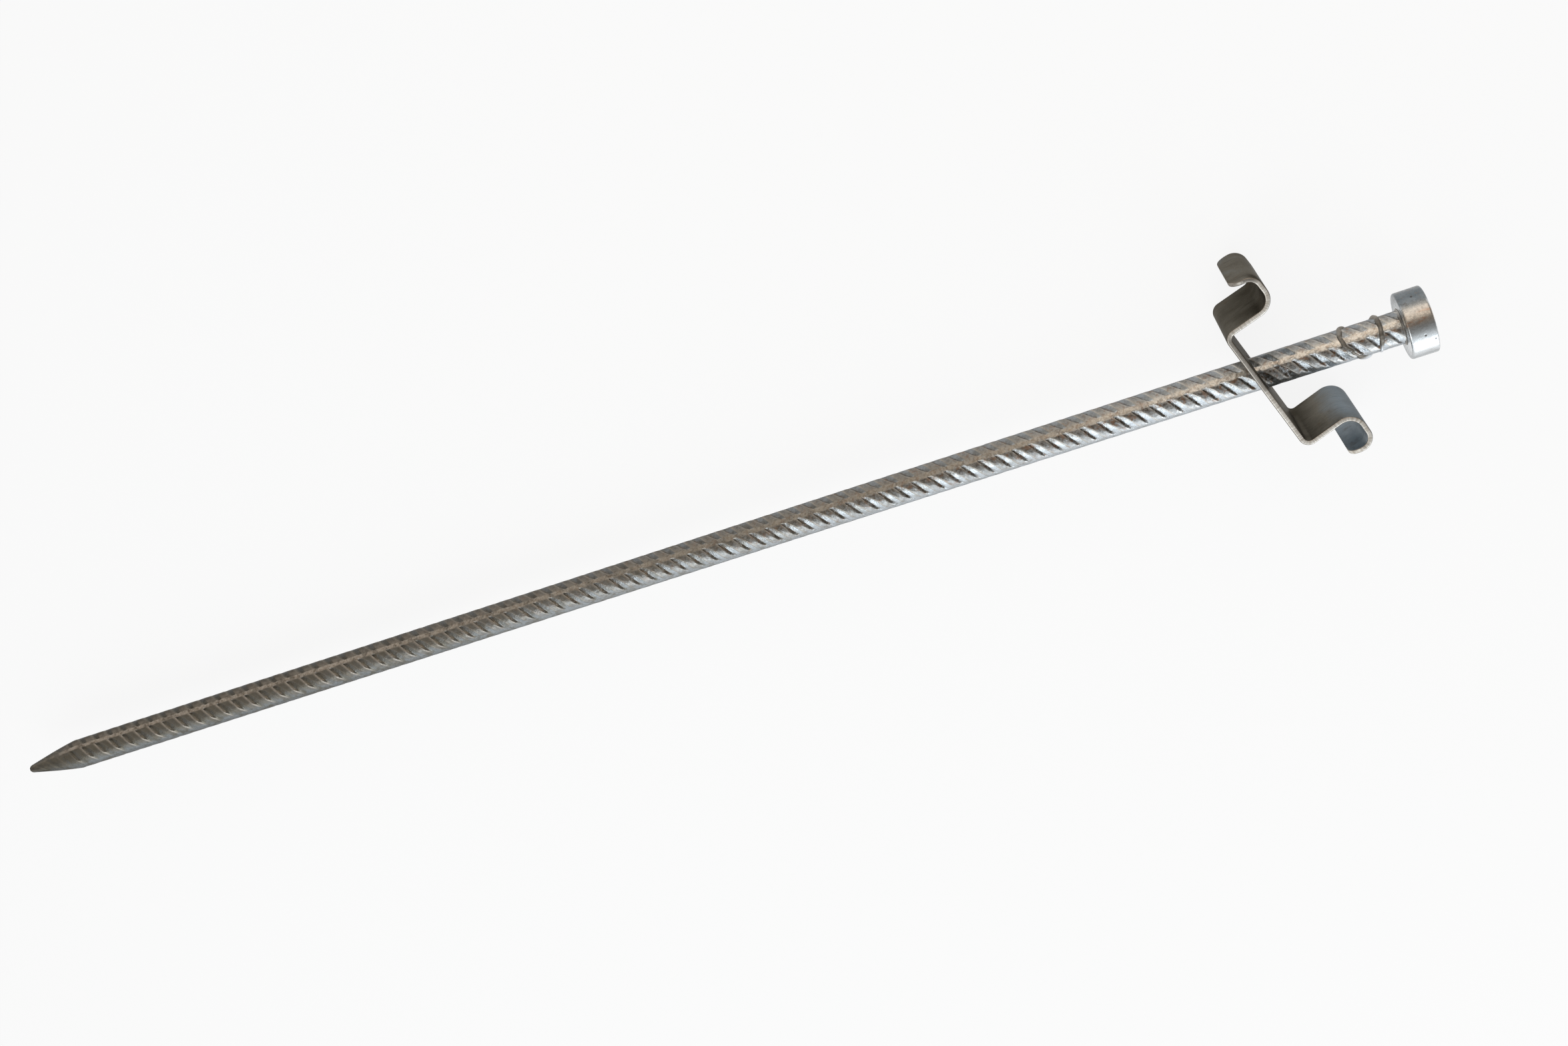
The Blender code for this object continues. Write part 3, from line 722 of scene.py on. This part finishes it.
def makeHeadSeam():
    look = seamLook
    bm = bmesh.new()
    bmesh.ops.create_grid(bm, x_segments=look["around"], y_segments=look["across"], size=0.5)
    for v in bm.verts:
        angle = 360.0 * (v.co.x + 0.5)
        turn = 2.0 * pi * (v.co.y + 0.5)
        swell = 1.0 + wobble(underHead, angle, look["uneven"])
        side, out = cos(turn), sin(turn)
        if side < 0.0 < out:  # the weld's face is slightly hollow
            swell *= look["hollow"]
        v.co = onRod(underHead - look["sunk"] + min(0.0, side) * look["leg"] * swell, angle,
                     look["seat"] + max(0.0, out) * look["rise"] * swell)
    closeUp(bm)
    return makePiece("head_seam_weld", bm, "stake", "head_seam", seamSteel,
                     sharp=50.0)


makeHeadSeam()

# The strip is flat at first, x along it from the hole and y across it, then each end is bent.
# An end holds its reach to the outer corner, then the turns of the corner, the arch and the curl
plateLook = dict(
    width=51.0, thick=2.6, station=727.7, tilt=18.2, hole=9.954, holeMargin=1.2, cornerRadius=4.0,
    legHeight=15.2, archNear=7.9, archTop=4.2, archFar=6.1, flap=7.0, endRound=7.6, endSteps=10,
    ends={-1: (32.72, 90.5, 92.5, 78.0), 1: (37.1, 92.0, 93.5, 91.0)},
    rimRound=0.85, rimSteps=5, holeSides=64, bendSteps=14, rowGap=0.25, bulge=0.03, bulgeSize=14.0,
    # How bright each face is at a distance from the hole, by end and by face: the strip's own
    # tone, with painted shade in the hooks' hollows and painted bluish reflection on their lit
    # faces
    patinaAndShading={(-1, -1): ((25.0, 0.4), (36.0, 0.2), (46.0, 0.1), (60.0, 0.0), (90.0, 0.2)),
            (-1, 1): ((25.0, 0.08), (34.0, 0.2), (38.0, 0.8), (56.0, 0.9), (66.0, 0.3),
                      (75.0, 0.34), (90.0, 0.35)),
            (1, 1): ((25.0, 0.3), (38.0, 0.14), (48.0, 0.28), (62.0, 0.66), (90.0, 0.66)),
            (1, -1): ((25.0, 0.35), (55.0, 0.62), (64.0, 0.74), (90.0, 0.76))},
    # Painted shade on end -1: dim cut edges by the rod and at the curl, and a dark band along one
    # rim of the flap; a pair is where an eased run starts and ends
    shadeByRod=(33.5, 30.0), shadeByRodShare=0.7, shadeAtCurl=(67.0, 72.0),
    rimShadeSide=(-17.0, -22.5), rimShadeStart=(58.0, 63.0), rimShadeEnd=(75.0, 71.0), rimShadeShare=0.85,
)


def stripSteps(end):  # straight and bent stretches from the hole out to the end
    look = plateLook
    reach, corner, arch, curl = look["ends"][end]
    straight = reach - look["cornerRadius"] * tan(radians(0.5 * corner))
    return [(straight, 0.0, 0.0), (None, look["cornerRadius"], corner),
            (look["legHeight"], 0.0, 0.0), (None, look["archNear"], -arch),
            (look["archTop"], 0.0, 0.0), (None, look["archFar"], -curl),
            (look["flap"], 0.0, 0.0)]


def stripStations(end):  # distances along the strip where the sheet needs a row
    look = plateLook
    stations, travelled = [], 0.0
    for straight, radius, turn in stripSteps(end):
        if straight is not None:
            travelled += straight
            stations.append(travelled)
        else:
            arc = radius * abs(radians(turn))
            for k in range(look["bendSteps"]):
                stations.append(travelled + arc * (k + 1) / look["bendSteps"])
            travelled += arc
    size = look["endRound"]
    turns = [0.5 * pi * k / look["endSteps"] for k in range(look["endSteps"])]
    rounded = [travelled - size + size * sin(turn) for turn in turns]
    kept = [s for s in stations[:-1] if min(abs(s - r) for r in rounded) > look["rowGap"]]
    return sorted(kept + rounded + [travelled])


def stripPlace(distance):  # middle line of the bent strip: along, up, heading
    end = 1 if distance >= 0 else -1
    left = abs(distance)
    along, up, heading = 0.0, 0.0, 0.0
    for straight, radius, turn in stripSteps(end):
        if straight is not None:
            part = min(left, straight)
            along += part * cos(heading)
            up += part * sin(heading)
        else:
            part = min(left, radius * abs(radians(turn)))
            way = 1.0 if turn > 0 else -1.0
            swing = way * part / radius
            along += way * radius * (sin(heading + swing) - sin(heading))
            up -= way * radius * (cos(heading + swing) - cos(heading))
            heading += swing
        left -= part
        if left <= 1e-9:
            break
    along += max(left, 0.0) * cos(heading)
    up += max(left, 0.0) * sin(heading)
    return end, along, up, heading


def newVerts(made):
    return [g for g in made if isinstance(g, bmesh.types.BMVert)]


def newEdges(made):
    return [g for g in made if isinstance(g, bmesh.types.BMEdge)]


def flatStrip():  # the sheet round the hole, its rows out to both ends, then its thickness
    look = plateLook
    half = 0.5 * look["width"]
    bm = bmesh.new()
    bmesh.ops.create_circle(bm, segments=look["holeSides"], radius=look["hole"])
    made = bmesh.ops.extrude_edge_only(bm, edges=bm.edges[:])["geom"]
    for v in newVerts(made):
        v.co = v.co.normalized() * (look["hole"] + look["holeMargin"])
    made = bmesh.ops.extrude_edge_only(bm, edges=newEdges(made))["geom"]
    for v in newVerts(made):  # the ring becomes a square as wide as the strip
        v.co *= half / max(abs(v.co.x), abs(v.co.y))
    for end in (-1, 1):
        row = [e for e in bm.edges if e.is_boundary
               and min(v.co.x * end for v in e.verts) > half - 1e-4]
        for station in stripStations(end):
            made = bmesh.ops.extrude_edge_only(bm, edges=row)["geom"]
            row = newEdges(made)
            for v in newVerts(made):
                v.co.x = end * station
    last = {end: stripStations(end)[-1] for end in (-1, 1)}
    size = look["endRound"]
    for v in bm.verts:  # both corners of each end are rounded
        into = abs(v.co.x) - last[1 if v.co.x > 0.0 else -1] + size
        if into > 0.0:
            v.co.y *= (half - size + sqrt(max(0.0, size * size - into * into))) / half
    closeUp(bm, 1e-4)
    made = bmesh.ops.extrude_face_region(bm, geom=bm.faces[:], use_keep_orig=True)["geom"]
    bmesh.ops.translate(bm, verts=newVerts(made), vec=(0.0, 0.0, look["thick"]))
    bmesh.ops.translate(bm, verts=bm.verts, vec=(0.0, 0.0, -0.5 * look["thick"]))
    closeUp(bm, 1e-4)
    return bm


def markStrip(bm):  # before the bends, while the strip is still flat
    look = plateLook
    cut, patinaAndShading, dim = [bm.verts.layers.float.new(name) for name in ("cut", "patinaAndShading", "dim")]
    laid = bm.loops.layers.uv.new("strip")
    for v in bm.verts:
        deep = 0.5 * look["thick"] - abs(v.co.z)
        v[cut] = smooth(0.0, look["rimRound"], deep)
        end, face = (1 if v.co.x > 0.0 else -1), (1 if v.co.z > 0.0 else -1)
        out = abs(v.co.x)
        # Face tone: the strip's own zinc with painted shade in the hooks' hollows and painted
        # reflection
        v[patinaAndShading] = alongKnots(look["patinaAndShading"][end, face], out)[0]
        # On end -1, painted shade: dim cut edges by the rod and at the curl, and a darker band
        # along one rim
        if end < 0:
            v[dim] = max(look["shadeByRodShare"] * smooth(*look["shadeByRod"], out),
                         smooth(*look["shadeAtCurl"], out))
            rimShaded = smooth(*look["rimShadeStart"], out) * smooth(*look["rimShadeEnd"], out)
            rimShaded *= smooth(*look["rimShadeSide"], v.co.y)
            v[patinaAndShading] *= 1.0 - look["rimShadeShare"] * rimShaded
    for face in bm.faces:
        for loop in face.loops:
            loop[laid].uv = (loop.vert.co.x * mm, loop.vert.co.y * mm)


def makeHookPlate():
    look = plateLook
    bm = flatStrip()
    sharpEdges = [e for e in bm.edges if e.is_manifold and e.calc_face_angle() > 1.0]
    bmesh.ops.bevel(bm, geom=sharpEdges, offset=look["rimRound"], segments=look["rimSteps"],
                    profile=0.5, affect="EDGES", material=-1)
    markStrip(bm)
    tilt = radians(look["tilt"])
    lengthWay = Vector((sin(tilt), -cos(tilt), 0.0))
    normal = Vector((cos(tilt), sin(tilt), 0.0))
    centre = Vector((tipX + look["station"] * mm, axisY, axisZ))
    for v in bm.verts:  # bent, stood upright and turned to its tilt
        end, along, up, heading = stripPlace(v.co.x)
        waves = noise.noise(Vector((v.co.x, v.co.y, 3.0)) / look["bulgeSize"])
        lean = v.co.z + look["bulge"] * waves
        place = lengthWay * end * (along - lean * sin(heading))
        place += normal * (up + lean * cos(heading)) + Vector((0.0, 0.0, -v.co.y))
        v.co = centre + place * mm
    closeUp(bm)
    return makePiece("hook_strip", bm, "hook_plate", "hook_plate", plateSteel,
                     sharp=40.0)


makeHookPlate()

# The camera looks down on the stake: place in mm, focal length in pixels of frameWidth
cameraLook = dict(place=(265.94, 299.98, 897.08), right=(0.93025, -0.35625, -0.08792),
                  back=(0.20997, 0.32031, 0.92375), focal=2671.0, frameWidth=2350.0)


def makeCamera():
    look = cameraLook
    data = bpy.data.cameras.new("camera")
    camera = bpy.data.objects.new("camera", data)
    bpy.context.scene.collection.objects.link(camera)
    back = Vector(look["back"]).normalized()
    right = Vector(look["right"])
    right = (right - back * right.dot(back)).normalized()
    up = back.cross(right)
    turn = Matrix((right, up, back)).transposed()
    camera.matrix_world = Matrix.Translation(Vector(look["place"]) * mm) @ turn.to_4x4()
    data.sensor_width = 36.0
    data.lens = look["focal"] / look["frameWidth"] * data.sensor_width
    data.clip_start = 0.02
    bpy.context.scene.camera = camera
    print("camera placed")


makeCamera()

lampLook = (
    dict(name="left_card", place=(-0.25, -0.36, 0.75), target=(0.0, -0.10, 0.03),
         size=(0.55, 0.50), power=1.7, colour=(0.88, 0.95, 1.0)),
    dict(name="side_window", place=(0.62, -0.80, 0.37), target=(0.40, 0.0, 0.03),
         size=(0.50, 0.62), power=1.75, colour=(0.93, 0.97, 1.0)),
    dict(name="warm_card", place=(0.45, 0.62, 0.50), target=(0.33, 0.0, 0.03),
         size=(0.60, 0.50), power=0.9, colour=(1.0, 0.88, 0.76)),
)


def makeLamps():
    for look in lampLook:
        data = bpy.data.lights.new(look["name"], "AREA")
        data.shape = "RECTANGLE"
        data.size, data.size_y = look["size"]
        data.energy = look["power"]
        data.color = look["colour"]
        lamp = bpy.data.objects.new(look["name"], data)
        lamp.location = look["place"]
        aim = Vector(look["target"]) - Vector(look["place"])
        lamp.rotation_euler = aim.to_track_quat("-Z", "Y").to_euler()
        bpy.context.scene.collection.objects.link(lamp)
    print("lamps placed")


makeLamps()

# The sky's colours run from the window side at -Y (0) to the far side at +Y (1)
roomLook = dict(
    sky=((0.0, (0.92, 0.96, 1.0)), (0.12, (1.05, 1.12, 1.18)), (0.20, (0.72, 0.77, 0.80)),
         (0.34, (0.38, 0.39, 0.39)), (0.46, (0.22, 0.21, 0.20)), (0.62, (0.19, 0.18, 0.17)),
         (0.74, (0.30, 0.28, 0.25)), (0.92, (0.40, 0.37, 0.33)), (1.0, (0.30, 0.28, 0.25))),
    leftGlow=(0.24, 0.225, 0.20), leftRun=(-0.56, -0.2),
    floorTone=(0.9, 0.9, 0.9), floorRough=0.9, floorGlow=0.88, floorRadius=30.0, floorSides=96,
    floorDrop=0.0002,
)


def makeRoom():
    look = roomLook
    world = bpy.data.worlds.new("room")
    bpy.context.scene.world = world
    f = Finish("room", world)
    way = f.node("ShaderNodeTexCoord", {}, {}, "Generated")
    across = f.node("ShaderNodeSeparateXYZ", {}, {0: way}, "Y")
    sideways = f.node("ShaderNodeSeparateXYZ", {}, {0: way}, "X")
    leftward = 1.0 - sideways.step(*look["leftRun"])
    sky = f.node("ShaderNodeValToRGB", dict(stops=look["sky"]), {0: across * 0.5 + 0.5})
    sky = f.mix(leftward, sky, look["leftGlow"], "ADD")
    f.plug(f.tree.nodes["Background"].inputs["Color"], sky)

    bm = bmesh.new()
    bmesh.ops.create_circle(bm, cap_ends=True, segments=look["floorSides"],
                            radius=look["floorRadius"])
    bmesh.ops.translate(bm, verts=bm.verts, vec=(0.0, 0.0, -look["floorDrop"]))
    mesh = bpy.data.meshes.new("floor")
    bm.to_mesh(mesh)
    bm.free()
    floor = bpy.data.objects.new("floor", mesh)
    bpy.context.scene.collection.objects.link(floor)
    f = Finish("pale_floor")
    f.set(**{"Base Color": look["floorTone"], "Roughness": look["floorRough"]})
    seen, mirrored, through = [
        f.node("ShaderNodeLightPath", {}, {}, kind + " Ray")
        for kind in ("Is Camera", "Is Glossy", "Is Transmission")]
    glow = f.node("ShaderNodeEmission", {}, {"Color": (1.0, 1.0, 1.0), "Strength": 1.0})
    share = (seen + mirrored + through).clamped() * look["floorGlow"]
    lit = Wire(f, f.shader.outputs["BSDF"])
    mixed = f.node("ShaderNodeMixShader", {}, {0: share, 1: lit, 2: glow})
    f.plug(f.tree.nodes["Material Output"].inputs["Surface"], mixed)
    mesh.materials.append(f.material)
    print("room ready")


makeRoom()
bpy.context.scene.view_settings.view_transform = "Standard"
